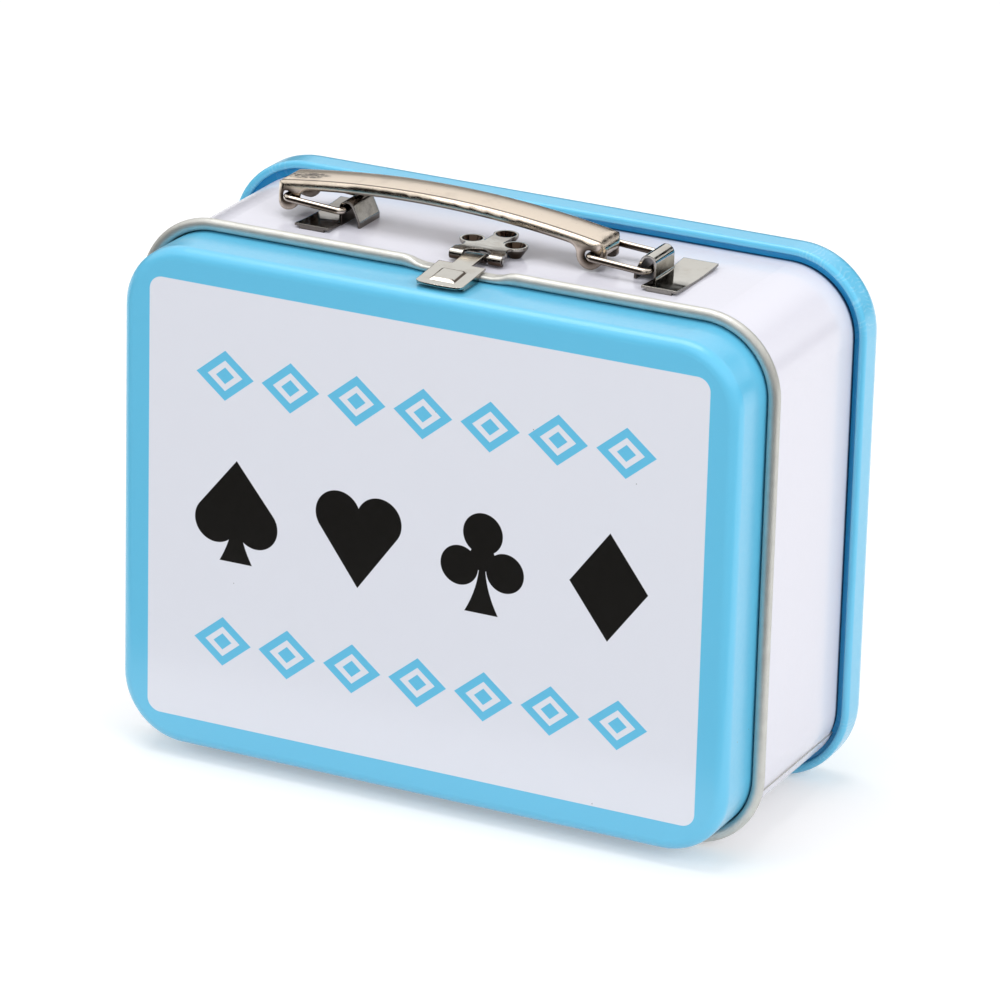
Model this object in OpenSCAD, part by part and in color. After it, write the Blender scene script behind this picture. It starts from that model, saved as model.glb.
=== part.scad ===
// Hinged sheet-metal tin in the form of a small suitcase, with a swinging metal handle on top,
// a front lid hinged along its lower edge and a snap latch.
// X runs to the right, Y runs from the lid to the back, Z is up. The origin is at the bottom
// centre. All lengths are in millimetres.

/* [Box] */
// Overall width of the back cover, the widest piece
cover_w = 150; // [120:0.5:200]
// Overall height of the back cover
cover_h = 119.2; // [100:0.1:160]
// Overall depth from the lid's face to the back
box_depth = 65; // [55:0.5:100]
// Outer corner radius of the back cover
cover_r = 17.8; // [14:0.1:26]
// Thickness of the tin sheet
sheet_t = 0.3; // [0.2:0.05:0.4]

/* [Body band] */
// Width of the band over its outer faces
band_w = 143.7; // [115:0.1:144]
// Height of the band over its outer faces
band_h = 113.3; // [95:0.1:113.4]
// Outer corner radius of the band
band_r = 15; // [11:0.1:20]
// Diameter of the bead curled at the mouth
bead_d = 2.6; // [2.2:0.05:2.7]
// Distance from the lid's face to the middle of the bead
bead_y = 13.8; // [10:0.1:20]
// Width of the flange that the back cover grips
flange_w = 2.2; // [1.5:0.1:2.2]
// Height by which the lock seam stands off the band
seam_t = 0.35; // [0.2:0.05:0.4]
// Angle that the lock seam spans on the corner
seam_angle = 14; // [8:1:25]
// Angle from the right side down to the start of the lock seam
seam_start = 22; // [5:1:40]

/* [Back cover] */
// Diameter of the curl at the front edge of the cover
curl_d = 1.8; // [1.4:0.05:2.4]
// Gap between the band and the curl of the cover, above and below
curl_gap = 0.85; // [0.15:0.05:1]
// Depth of the cover from its curl to the back
cover_depth = 9.5; // [8:0.1:16]
// Rounding between the cover's skirt and its back
cover_edge_r = 4.5; // [2:0.1:5]
// Clearance between the flange and the cover's curl
grip_gap = 0.02; // [0.01:0.01:0.1]

/* [Lid] */
// Clearance between the lid and the mouth
lid_gap = 0.25; // [0.2:0.05:0.6]
// Depth of the lid's skirt
skirt_depth = 18; // [15:0.1:20]
// Rounding between the lid's face and its skirt
lid_edge_r = 2.6; // [1.5:0.1:4]
// Diameter of the inward curl on the skirt's edge
skirt_curl_d = 1.6; // [1.2:0.1:2.2]
// Diameter of the catch boss on top of the lid
boss_d = 5; // [3:0.1:5.6]
// Height of the catch boss
boss_h = 0.5; // [0.3:0.05:0.5]

/* [Lid hinge] */
// Distance from the middle of the lid to the middle of each hinge tongue
hinge_x = 40; // [25:0.5:46]
// Width of each window in the bead
window_w = 16; // [10:0.5:24]
// Clearance between a tongue and the sides of its window
window_gap = 0.4; // [0.3:0.05:1]
// Length of pin inside the bead at each end
pin_grip = 5; // [3:0.5:8]
// Radial clearance round the hinge pin
pin_gap = 0.05; // [0.02:0.01:0.1]

/* [Fittings] */
// Distance of the latch from the middle of the box
latch_x = 1; // [-5:0.1:5]
// Distance of the handle from the middle of the box
handle_x = 1.4; // [-5:0.1:5]
// Distance from the lid's face to the middle of the handle
handle_y = 34; // [30:0.1:42]
// Thickness of the plated steel of the brackets
plate_t = 0.55; // [0.4:0.05:0.7]

/* [Handle] */
// Distance between the two holes of the handle
hole_pitch = 71; // [60:0.5:90]
// Diameter of the holes in the ears
ear_hole_d = 2.5; // [2.3:0.1:3]
// Radius of the ears round their holes
ear_r = 2.95; // [2.6:0.05:3.1]
// Width of the handle
handle_w = 10.5; // [8:0.1:14]
// Thickness of the handle's steel
handle_t = 0.6; // [0.4:0.05:0.8]
// Height of the handle's rolled side edges
side_h = 1.9; // [1.6:0.1:2.6]
// Height of the top edge over the holes at mid length
arch_h = 6.1; // [4.5:0.1:8]
// Radius of the handle's arch
arch_r = 230; // [180:1:320]
// Radius of the crown across the handle's top
crown_r = 18; // [12:0.5:40]
// Rounding of the long top edges
edge_r = 1; // [0.7:0.1:1.5]
// Rounding at the two ends of the handle
nose_r = 3.2; // [1.2:0.1:3.3]
// Rounding of the handle's corners seen from above
plan_r = 2.6; // [1.2:0.1:3.4]
// Tilt of the handle, which rests with its left end higher
handle_tilt = 1.05; // [0:0.05:2]

/* [Links] */
// Diameter of the wire
wire_d = 1.5; // [1.2:0.05:1.6]
// Distance between the two pivots of a link
link_l = 13.6; // [12:0.1:16]
// Distance between the two long sides of a link
link_w = 12.6; // [12.4:0.1:16]
// Bend radius of the wire's middle line
link_bend_r = 1.4; // [1:0.1:2]
// Angle at which the links lie above level
link_angle = 4; // [0:0.5:8]

/* [Brackets] */
// Height of the right-hand pivot above the band
pivot_h = 2.4; // [2:0.05:2.8]
// Length of the loop that holds the wire
loop_l = 9; // [7:0.1:10]
// Inner radius at the top of the loop
loop_r = 1.25; // [1:0.05:1.6]
// Clear height inside the loop
loop_h = 5.05; // [4.9:0.05:6]
// Slope of the inboard leg away from upright
leg_slope = 25; // [10:1:32]
// Height of the upright foot on which the inboard leg stands
foot_h = 1.1; // [0.6:0.1:1.8]
// Length of the fixing plate, front to back
plate_l = 21; // [17:0.5:24]
// Width of the fixing plate
plate_w = 8; // [7:0.1:11]
// Radius to which the fixing plate is bowed
plate_bow_r = 110; // [80:1:200]
// Width of the tabs that pass through the band
tab_w = 5.8; // [4:0.1:6.4]
// Length of the clinched end of a tab
clinch_l = 2.2; // [1.2:0.1:3]

/* [Latch] */
// Width of the latch flap
flap_w = 10.8; // [9.6:0.1:12]
// Distance from the lid's face to the front edge of the flap
flap_y = 3.7; // [3:0.1:5]
// Thickness of the flap
flap_t = 0.5; // [0.3:0.05:0.5]
// Width of the flap's hinge tongue
tongue_w = 4.4; // [3:0.1:5.2]
// Distance from the lid's face to the latch pin
latch_pin_y = 21.5; // [20.5:0.1:22.5]
// Height of the latch pin above the band
latch_pin_h = 1.45; // [1.4:0.05:1.6]
// Diameter of the latch pin
latch_pin_d = 1.1; // [0.9:0.05:1.1]
// Distance from the lid's face to the flap's shoulders, where it narrows to the tongue
shoulder_y = 14.8; // [14:0.1:16]
// Distance from the front edge of the flap to the middle of its raised pad
pad_back = 4.6; // [4.2:0.1:5.2]
// Height of the raised pad on the flap
pad_h = 0.5; // [0.3:0.05:0.8]
// Width of the raised pad
pad_w = 5.8; // [5.4:0.1:7]
// Length of the raised pad
pad_l = 6.2; // [5.8:0.1:7]
// Width of the latch base over its two knuckles
base_w = 12; // [10.8:0.1:13]
// Sideways distance of the two side ears from the middle
ear_x = 5; // [4.4:0.1:6]
// Distance from the lid's face to the two side ears
ear_y = 29.4; // [28:0.1:31]
// Distance from the lid's face to the rear ear
rear_ear_y = 35.2; // [34:0.1:37]
// Radius of the dished ears
dish_r = 2.7; // [2.2:0.1:2.9]
// Diameter of the rivets
rivet_d = 1.5; // [1.2:0.1:1.8]

/* [Hidden] */

white = [0.90, 0.91, 0.94];
blue = [0.39, 0.76, 0.89];
nickel = [0.78, 0.75, 0.69];
steel = [0.70, 0.70, 0.69];

fine = 96;
small = 48;
tiny = 0.01;

// Clearances
lap = 0.05;

// Places in the box's own frame
front_y = -box_depth / 2;
bead_r = bead_d / 2;
band_z = curl_d + curl_gap + band_h / 2;
band_top = band_z + band_h / 2;
cover_z = cover_h / 2;
mouth_w = band_w - 2 * sheet_t;
mouth_h = band_h - 2 * sheet_t;
bead_u = bead_r - sheet_t;
curl_r = curl_d / 2;
curl_y = box_depth - cover_depth + curl_r;
flange_y = curl_y + curl_r + grip_gap;
lid_w = mouth_w - 2 * lid_gap;
lid_h = mouth_h - 2 * lid_gap;
lid_r = band_r - sheet_t - lid_gap;
lid_top = band_z + lid_h / 2;

// Lid hinge, on the middle line of the bead
axis_z = band_z - band_h / 2 - bead_u;
hinge_pin_r = bead_r - sheet_t - pin_gap;
pin_l = window_w + 2 * pin_grip;
tongue_l = window_w - 2 * window_gap;

// Flattened stretch of bead under the latch
dent_half = 8;
dent_ramp = 5;
dent_h = 1.25;

// Handle, links and brackets
wire_r = wire_d / 2;
mid_y = front_y + handle_y;
pivot_dx = hole_pitch / 2 * cos(handle_tilt);
right_pivot = [handle_x + pivot_dx, band_top + pivot_h];
left_pivot = [handle_x - pivot_dx, right_pivot[1] + hole_pitch * sin(handle_tilt)];
link_dx = link_l * cos(link_angle);
link_dz = link_l * sin(link_angle);
loop_wire_gap = 0.1;
seat_gap = 0.02;
slot_gap = 0.15;
end_x = hole_pitch / 2 + ear_r;

// Latch
pin_y = front_y + latch_pin_y;
pin_z = band_top + latch_pin_h;
knuckle_r = latch_pin_d / 2 + pin_gap + flap_t;
base_knuckle_r = latch_pin_d / 2 + pin_gap + plate_t;
base_h = latch_pin_h + base_knuckle_r - plate_t;
base_half = base_w / 2;
notch_gap = 0.35;
notch_x = tongue_w / 2 + 0.8;
flap_front_h = 0.8;
flap_reach = latch_pin_y - flap_y;
flap_drop = latch_pin_h - flap_front_h;
flap_slope = atan(flap_drop / flap_reach) + asin(knuckle_r / norm([flap_reach, flap_drop]));
flap_len = flap_reach * cos(flap_slope) + flap_drop * sin(flap_slope);

// Stands children up: local z becomes depth and local y points down
module upright(z) {
    translate([0, front_y, z])
        rotate([-90, 0, 0])
            children();
}

// Sweeps a flat profile round a rounded rectangle of size w by h with corner radius r.
// The profile's x is the distance outwards from the outline and its y is the depth.
module sweep_round(w, h, r) {
    for (q = [0:3]) {
        a = q % 2 == 0 ? w : h;
        b = q % 2 == 0 ? h : w;
        rotate([0, 0, 90 * q]) {
            translate([a / 2, b / 2 - r, 0])
                rotate([90, 0, 0])
                    linear_extrude(b - 2 * r)
                        children();
            translate([a / 2 - r, b / 2 - r, 0])
                rotate_extrude(angle = 90, $fn = fine)
                    translate([r, 0])
                        children();
        }
    }
}

// Flat rounded plate of thickness t
module round_plate(w, h, r, t) {
    linear_extrude(t) {
        square([w - 2 * r, h], center = true);
        square([w, h - 2 * r], center = true);
        for (sx = [-1, 1])
            for (sy = [-1, 1])
                translate([sx * (w / 2 - r), sy * (h / 2 - r)])
                    circle(r, $fn = fine);
    }
}

// Part of a flat ring between two angles, from radius r - t to r
module ring_part(r, t, from, to, sides = small) {
    far = 3 * r;
    steps = 8;
    difference() {
        circle(r, $fn = sides);
        circle(r - t, $fn = sides);
        polygon(concat([[0, 0]],
            [for (i = [0:steps]) let(a = to + (360 - to + from) * i / steps)
                far * [cos(a), sin(a)]]));
    }
}

// Extrudes a profile drawn in depth and height, w wide across the box
module across(w) {
    rotate([90, 0, 90])
        linear_extrude(w, center = true)
            children();
}

// Extrudes a profile drawn in width and height, w long from front to back
module along(w) {
    rotate([90, 0, 0])
        linear_extrude(w, center = true)
            children();
}

// Body band

// Curled sheet of the bead, drawn round its own middle
module bead_curl() {
    ring_part(bead_r, sheet_t, 180, 495);
}

module band_profile() {
    translate([-sheet_t, bead_y - lap])
        square([sheet_t, flange_y + sheet_t - bead_y + lap]);
    translate([-sheet_t, flange_y])
        square([sheet_t + flange_w, sheet_t]);
    translate([bead_u, bead_y])
        bead_curl();
}

// Section of the bead pressed down to height h, where its sheet keeps its length
module pressed_bead(h) {
    l = PI * (bead_d - h) / 2 + h;
    translate([h / 2 - sheet_t, bead_y]) {
        for (s = [-1, 1])
            translate([0, s * (l - h) / 2])
                circle(h / 2, $fn = 32);
        square([h, l - h + tiny], center = true);
    }
}

// Flattened stretch of the bead, with a ramp at each end that swells smoothly to the full bead
module bead_dent() {
    steps = 3;
    function swelling(i) = dent_h + (bead_d - dent_h) * (1 - cos(180 * i / steps)) / 2;
    translate([latch_x, -band_h / 2, 0])
        rotate([0, 0, -90])
            rotate([90, 0, 0]) {
                linear_extrude(2 * dent_half, center = true)
                    pressed_bead(dent_h);
                for (s = [-1, 1])
                    for (i = [1:steps])
                        hull()
                            for (k = [i - 1, i])
                                translate([0, 0, s * (dent_half + dent_ramp * k / steps)])
                                    linear_extrude(tiny, center = true)
                                        pressed_bead(swelling(k));
            }
}

// Room for the bead's curl over a length l, cut where it is flattened or has a window
module bead_room(l, rear) {
    reach = 3;
    translate([-l / 2, -reach, bead_y - reach])
        cube([l, 2 * reach, reach + rear]);
}

module lock_seam() {
    inset = 0.2;
    start = bead_y + bead_r + inset;
    translate([band_w / 2 - band_r, band_h / 2 - band_r, start])
        rotate([0, 0, seam_start])
            rotate_extrude(angle = seam_angle, $fn = fine)
                translate([band_r - lap, 0])
                    square([seam_t + lap, flange_y - start]);
}

module body_band() {
    color(white)
        difference() {
            upright(band_z) {
                difference() {
                    sweep_round(band_w, band_h, band_r)
                        band_profile();
                    translate([latch_x, -band_h / 2, 0])
                        bead_room(2 * (dent_half + dent_ramp), bead_r);
                    for (s = [-1, 1])
                        translate([s * hinge_x, band_h / 2, 0])
                            bead_room(window_w, bead_r + window_gap);
                }
                bead_dent();
                lock_seam();
            }
            for (s = [-1, 1])
                place_bracket(s)
                    tab_slots();
            for (p = rivet_places)
                translate([p[0], p[1], band_top - 2 * sheet_t])
                    cylinder(h = 4 * sheet_t, d = rivet_d + 2 * slot_gap, $fn = small);
        }
}

// Back cover

module cover_profile() {
    curl_open = 100;
    translate([-sheet_t, curl_y])
        square([sheet_t, box_depth - cover_edge_r - curl_y]);
    translate([-curl_r, curl_y])
        ring_part(curl_r, sheet_t, curl_open, 360);
    translate([-cover_edge_r, box_depth - cover_edge_r])
        ring_part(cover_edge_r, sheet_t, 0, 90);
}

module back_cover() {
    color(blue)
        upright(cover_z) {
            sweep_round(cover_w, cover_h, cover_r)
                cover_profile();
            translate([0, 0, box_depth - sheet_t])
                round_plate(cover_w - 2 * cover_edge_r, cover_h - 2 * cover_edge_r,
                    cover_r - cover_edge_r, sheet_t);
        }
}

// Front lid

module lid_profile() {
    curl = skirt_curl_d / 2;
    translate([-lid_edge_r, lid_edge_r])
        ring_part(lid_edge_r, sheet_t, 270, 360);
    translate([-sheet_t, lid_edge_r])
        square([sheet_t, skirt_depth - curl - lid_edge_r]);
    translate([-curl, skirt_depth - curl])
        ring_part(curl, sheet_t, 0, 290);
}

// Tongue curled round the hinge pin and joined to the lid's lower wall
module hinge_tongue() {
    web_h = lid_hinge_drop;
    rotate([90, 0, 90])
        linear_extrude(tongue_l, center = true) {
            ring_part(bead_r, bead_r - hinge_pin_r - pin_gap, 180, 440);
            translate([-bead_r, 0])
                square([sheet_t, web_h]);
        }
}

module catch_boss() {
    rise = boss_h;
    ball = (boss_d * boss_d / 4 + rise * rise) / (2 * rise);
    sink = sheet_t;
    intersection() {
        translate([0, 0, rise - ball])
            sphere(ball, $fn = fine);
        translate([0, 0, -sink])
            cylinder(h = sink + rise, d = boss_d + 1, $fn = small);
    }
}

lid_hinge_drop = band_z - lid_h / 2 - axis_z + sheet_t / 2;
boss_y = flap_y + pad_back;

module front_lid() {
    color(blue) {
        upright(band_z) {
            sweep_round(lid_w, lid_h, lid_r)
                lid_profile();
            round_plate(lid_w - 2 * lid_edge_r, lid_h - 2 * lid_edge_r,
                lid_r - lid_edge_r, sheet_t);
        }
        for (s = [-1, 1])
            translate([s * hinge_x, front_y + bead_y, axis_z])
                hinge_tongue();
        translate([latch_x, front_y + boss_y, lid_top])
            catch_boss();
    }
}

// Hinge pins

module hinge_pin(side) {
    color(steel)
        translate([side * hinge_x, front_y + bead_y, axis_z])
            rotate([0, 90, 0])
                cylinder(h = pin_l, r = hinge_pin_r, center = true, $fn = small);
}

module hinge_pin_left() {
    hinge_pin(-1);
}

module hinge_pin_right() {
    hinge_pin(1);
}

// Handle brackets, drawn with the wire's pivot over the origin and the band's face at z = 0

leg_in = wire_r + loop_wire_gap;
tab_x = leg_in + plate_w / 2;
bow_angle = asin(plate_l / 2 / plate_bow_r);
bow_rise = plate_bow_r * (1 - cos(bow_angle));

module place_bracket(side) {
    x = side > 0 ? right_pivot[0] : left_pivot[0];
    translate([x, mid_y, band_top])
        scale([side, 1, 1])
            children();
}

module tab_slots() {
    for (s = [-1, 1])
        translate([tab_x, s * (plate_l - plate_t) / 2, 0])
            cube([tab_w + 2 * slot_gap, plate_t + 2 * slot_gap, 4 * sheet_t], center = true);
}

// Wire loop: an upright outboard leg, a rounded top and a sloping inboard leg with a foot
module loop_profile() {
    top_x = leg_in - loop_r;
    top_z = loop_h - loop_r;
    end_angle = 180 - leg_slope;
    bend_r = 0.5;
    leg_top_z = top_z + loop_r * sin(leg_slope);
    leg_l = (leg_top_z - foot_h) / cos(leg_slope);
    foot_x = top_x - loop_r * cos(leg_slope) - leg_l * sin(leg_slope);
    difference() {
        union() {
            translate([leg_in, seat_gap])
                square([plate_t, top_z - seat_gap + lap]);
            translate([top_x, top_z]) {
                ring_part(loop_r + plate_t, plate_t, 0, end_angle);
                rotate(end_angle)
                    translate([loop_r, -lap])
                        square([plate_t, leg_l + lap]);
            }
            polygon([[foot_x, foot_h + lap], [foot_x - plate_t * cos(leg_slope), foot_h
                + plate_t * sin(leg_slope) + lap], [foot_x - plate_t, foot_h], [foot_x - plate_t, 0],
                [foot_x, 0]]);
            difference() {
                translate([leg_in + plate_t - lap, seat_gap + plate_t - lap])
                    square(bend_r + lap);
                translate([leg_in + plate_t + bend_r, seat_gap + plate_t + bend_r])
                    circle(bend_r, $fn = small);
            }
        }
        translate([-2 * loop_h, seat_gap - loop_h])
            square([3 * loop_h, loop_h]);
    }
}

// Fixing plate, bowed so that its middle lies on the band
module fixing_plate() {
    translate([leg_in + plate_w / 2, 0, seat_gap])
        across(plate_w)
            translate([0, plate_bow_r])
                ring_part(plate_bow_r, plate_t, 270 - bow_angle, 270 + bow_angle, 360);
}

// Tab that passes through the band and is clinched flat inside it
module fixing_tab() {
    foot_z = -sheet_t - seat_gap - plate_t;
    translate([tab_x - tab_w / 2, plate_l / 2 - plate_t, foot_z])
        cube([tab_w, plate_t, bow_rise + plate_t / 2 - foot_z]);
    translate([tab_x - tab_w / 2, plate_l / 2 - clinch_l, foot_z])
        cube([tab_w, clinch_l, plate_t]);
}

module handle_bracket(side) {
    color(nickel)
        place_bracket(side) {
            along(loop_l)
                loop_profile();
            fixing_plate();
            for (s = [0, 1])
                mirror([0, s, 0])
                    fixing_tab();
        }
}

module handle_bracket_left() {
    handle_bracket(-1);
}

module handle_bracket_right() {
    handle_bracket(1);
}

// Wire links

module handle_link(pivot) {
    color(nickel)
        translate([pivot[0], mid_y, pivot[1]])
            rotate([0, link_angle, 0])
                translate([-link_l / 2, 0, 0])
                    sweep_round(link_l, link_w, link_bend_r)
                        circle(wire_r, $fn = small);
}

module handle_link_left() {
    handle_link(left_pivot);
}

module handle_link_right() {
    handle_link(right_pivot);
}

// Handle, drawn about the point midway between its holes

crown_h = crown_r - sqrt(pow(crown_r, 2) - pow(handle_w / 2 - edge_r, 2));
nose_x = end_x - nose_r;
nose_z = arch_h + crown_h - arch_r + sqrt(pow(arch_r, 2) - pow(nose_x, 2)) - nose_r;

// Disc whose edge is the handle's arch, lifted by rise
module arch_disc(rise) {
    translate([0, arch_h - arch_r])
        circle(arch_r + rise, $fn = 360);
}

// Outline seen from the side, without the top arch
module nose_outline(inset) {
    deep = 10;
    translate([-nose_x, -deep])
        square([2 * nose_x, 2 * deep + arch_h]);
    translate([inset - end_x, -deep])
        square([2 * (end_x - inset), deep + nose_z]);
    for (s = [-1, 1])
        translate([s * nose_x, nose_z])
            circle(nose_r - inset, $fn = small);
}

// Ear round a hole, blended into the side edge
module ear_outline() {
    blend = 2.2;
    blend_x = hole_pitch / 2 - ear_r - blend;
    rim_z = arch_h - side_h - arch_r + sqrt(pow(arch_r, 2) - pow(blend_x, 2));
    translate([hole_pitch / 2, 0])
        circle(ear_r, $fn = small);
    translate([hole_pitch / 2 - ear_r, 0])
        square([2 * ear_r, 2 * ear_r]);
    difference() {
        translate([blend_x, rim_z - blend])
            square([blend + ear_r, blend + side_h / 2]);
        translate([blend_x, rim_z - blend])
            circle(blend, $fn = small);
        translate([hole_pitch / 2, -ear_r])
            square([ear_r, ear_r]);
    }
}

module handle_outline() {
    intersection() {
        nose_outline(0);
        arch_disc(crown_h);
        union() {
            difference() {
                translate([-hole_pitch / 2, -ear_r])
                    square([hole_pitch, arch_h + 3 * ear_r]);
                arch_disc(-side_h);
            }
            for (s = [0, 1])
                mirror([s, 0])
                    ear_outline();
        }
    }
}

// Crowned bar that follows the arch, inset all round
module crowned_bar(inset) {
    half = 12;
    deep = 12;
    rotate([90, 0, 0])
        translate([0, arch_h - arch_r, 0])
            rotate([0, 0, 90 - half])
                rotate_extrude(angle = 2 * half, $fn = 360)
                    intersection() {
                        translate([arch_r + crown_h - crown_r, 0])
                            circle(crown_r - inset, $fn = fine);
                        union() {
                            translate([arch_r - deep, inset - handle_w / 2])
                                square([deep - edge_r, handle_w - 2 * inset]);
                            translate([arch_r - deep, edge_r - handle_w / 2])
                                square([2 * deep, handle_w - 2 * edge_r]);
                            for (s = [-1, 1])
                                translate([arch_r - edge_r, s * (handle_w / 2 - edge_r)])
                                    circle(edge_r - inset, $fn = small);
                        }
                    }
}

// Block with the handle's outline seen from above, inset all round
module handle_plan(inset) {
    deep = 12;
    translate([0, 0, -deep])
        round_plate(2 * (end_x - inset), handle_w - 2 * inset, plan_r - inset, 2 * deep);
}

module handle_grip() {
    x = (left_pivot[0] + right_pivot[0]) / 2 - link_dx;
    z = (left_pivot[1] + right_pivot[1]) / 2 + link_dz;
    wall_end_z = 0.2;
    color(nickel)
        translate([x, mid_y, z])
            rotate([0, handle_tilt, 0])
                difference() {
                    intersection() {
                        along(handle_w + 1)
                            handle_outline();
                        crowned_bar(0);
                        handle_plan(0);
                    }
                    intersection() {
                        along(handle_w - 2 * handle_t)
                            intersection() {
                                nose_outline(handle_t);
                                arch_disc(crown_h - handle_t);
                            }
                        crowned_bar(handle_t);
                        handle_plan(handle_t);
                    }
                    translate([-end_x - 1, plan_r - handle_w / 2, wall_end_z - 2 * ear_r])
                        cube([2 * end_x + 2, handle_w - 2 * plan_r, 2 * ear_r]);
                    for (s = [-1, 1])
                        translate([s * hole_pitch / 2, 0, 0])
                            rotate([90, 0, 0])
                                cylinder(h = 2 * handle_w, d = ear_hole_d, center = true,
                                    $fn = small);
                }
}

// Latch base, a plate with three dished ears and two knuckles rolled round the pin

rivet_places = [
    [latch_x - ear_x, front_y + ear_y],
    [latch_x + ear_x, front_y + ear_y],
    [latch_x, front_y + rear_ear_y]
];
ear_places = [[-ear_x, ear_y], [ear_x, ear_y], [0, rear_ear_y]];
dish_base_r = 1.3;
dish_rim = 0.5;

// Outline of the base seen from above, with its middle at the latch's middle line
module base_outline() {
    waist = 2.2;
    scoop_r = 2.4;
    scoop_in = 1;
    notch_r = notch_x + 0.1;
    notch_y = latch_pin_y + knuckle_r + notch_gap - sqrt(pow(notch_r, 2) - pow(tongue_w / 2, 2));
    difference() {
        union() {
            for (p = ear_places)
                translate(p)
                    circle(dish_r, $fn = small);
            translate([-waist, ear_y])
                square([2 * waist, rear_ear_y - ear_y]);
            translate([-base_half, latch_pin_y])
                square([2 * base_half, ear_y - latch_pin_y]);
        }
        translate([0, notch_y])
            circle(notch_r, $fn = small);
        for (s = [-1, 1])
            translate([s * (base_half + scoop_r - scoop_in), (latch_pin_y + ear_y) / 2])
                circle(scoop_r, $fn = small);
    }
}

// Conical dish pressed down to the band
module dish() {
    hole_r = rivet_d / 2 + slot_gap;
    rotate_extrude($fn = small)
        polygon([[hole_r, seat_gap], [dish_base_r, seat_gap], [dish_r, base_h],
            [dish_r, base_h + plate_t], [dish_r - dish_rim, base_h + plate_t],
            [dish_base_r - plate_t / 2, seat_gap + plate_t], [hole_r, seat_gap + plate_t]]);
}

module latch_base() {
    knuckle_w = base_half - notch_x;
    color(nickel) {
        translate([latch_x, front_y, band_top + base_h])
            linear_extrude(plate_t)
                difference() {
                    base_outline();
                    for (p = ear_places)
                        translate(p)
                            circle(dish_r - dish_rim / 2, $fn = small);
                }
        for (p = rivet_places)
            translate([p[0], p[1], band_top])
                dish();
        for (s = [-1, 1])
            translate([latch_x + s * (notch_x + knuckle_w / 2), pin_y, pin_z])
                across(knuckle_w)
                    ring_part(base_knuckle_r, plate_t, 88, 290);
    }
}

module latch_rivets() {
    head_r = dish_base_r - plate_t / 2 - 0.15;
    head_h = 0.7;
    tail_r = 1.4;
    tail_h = 0.5;
    seat = seat_gap + plate_t + seat_gap;
    tail = -sheet_t - seat_gap;
    color(steel)
        for (p = rivet_places)
            translate([p[0], p[1], band_top])
                rotate_extrude($fn = small)
                    polygon([[0, tail - tail_h], [tail_r, tail - tail_h], [tail_r, tail],
                        [rivet_d / 2, tail], [rivet_d / 2, seat], [head_r, seat],
                        [head_r * 0.8, seat + head_h * 0.6], [head_r * 0.4, seat + head_h],
                        [0, seat + head_h]]);
}

module latch_pin() {
    over = 0.15;
    color(steel)
        translate([latch_x, pin_y, pin_z])
            rotate([0, 90, 0])
                cylinder(h = 2 * (base_half + over), d = latch_pin_d, center = true,
                    $fn = small);
}

// Latch flap, drawn from the pin's axis with its top face level, then tipped down to the front

module flap_plan() {
    corner = 0.9;
    rear = shoulder_y - latch_pin_y;
    front = -flap_len;
    bow = 0.5;
    round = 40;
    translate([-flap_w / 2, front + corner])
        square([flap_w, rear - front - corner]);
    translate([-flap_w / 2 + corner, front])
        square([flap_w - 2 * corner, corner]);
    for (s = [-1, 1])
        translate([s * (flap_w / 2 - corner), front + corner])
            circle(corner, $fn = small);
    intersection() {
        translate([0, front + round - bow])
            circle(round, $fn = 360);
        translate([-flap_w / 2 + corner, front - bow])
            square([flap_w - 2 * corner, 2 * bow]);
    }
    translate([-tongue_w / 2, rear - tiny])
        square([tongue_w, -rear + tiny]);
}

// Raised pad with bevelled sides
module pad_block(grow, height) {
    bevel = 0.7;
    base = 0.02;
    hull() {
        translate([0, 0, base / 2])
            cube([pad_w + 2 * grow, pad_l + 2 * grow, base], center = true);
        translate([0, 0, height - base / 2])
            cube([pad_w + 2 * grow - 2 * bevel, pad_l + 2 * grow - 2 * bevel, base], center = true);
    }
}

module latch_flap() {
    top = knuckle_r;
    pad_y = -latch_pin_y + boss_y;
    wing_inset = 1;
    wing_l = 7;
    wing_front = flap_y + wing_inset - latch_pin_y;
    wing_rear = wing_front + wing_l;
    wing_gap = 0.35;
    wing_z = lid_top + wing_gap - pin_z;
    color(nickel)
        translate([latch_x, pin_y, pin_z])
            difference() {
                union() {
                    rotate([flap_slope, 0, 0]) {
                        translate([0, 0, top - flap_t])
                            linear_extrude(flap_t)
                                flap_plan();
                        translate([0, pad_y, top - tiny])
                            pad_block(0, pad_h);
                        across(tongue_w)
                            ring_part(knuckle_r, flap_t, 135, 450);
                    }
                    for (s = [-1, 1])
                        translate([s * (flap_w - flap_t) / 2, 0, 0])
                            across(flap_t)
                                polygon([[wing_front, wing_z], [wing_rear, wing_z],
                                    [wing_rear, flap_face(wing_rear)],
                                    [wing_front, flap_face(wing_front)]]);
                }
                rotate([flap_slope, 0, 0])
                    translate([0, pad_y, top - flap_t - tiny])
                        pad_block(-flap_t, flap_t + pad_h - flap_t + 2 * tiny);
            }
}

// Height of the middle of the flap's sheet at distance y from the pin
function flap_face(y) = (knuckle_r - flap_t / 2) / cos(flap_slope) + y * tan(flap_slope);

body_band();
back_cover();
front_lid();
hinge_pin_left();
hinge_pin_right();
handle_bracket_left();
handle_bracket_right();
handle_link_left();
handle_link_right();
handle_grip();
latch_base();
latch_rivets();
latch_pin();
latch_flap();
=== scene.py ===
"""Looks of the hinged tin: enamel, tinplate and nickel over the CAD frame, in metres."""

import math

import bpy
from mathutils import Matrix, Vector

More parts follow.
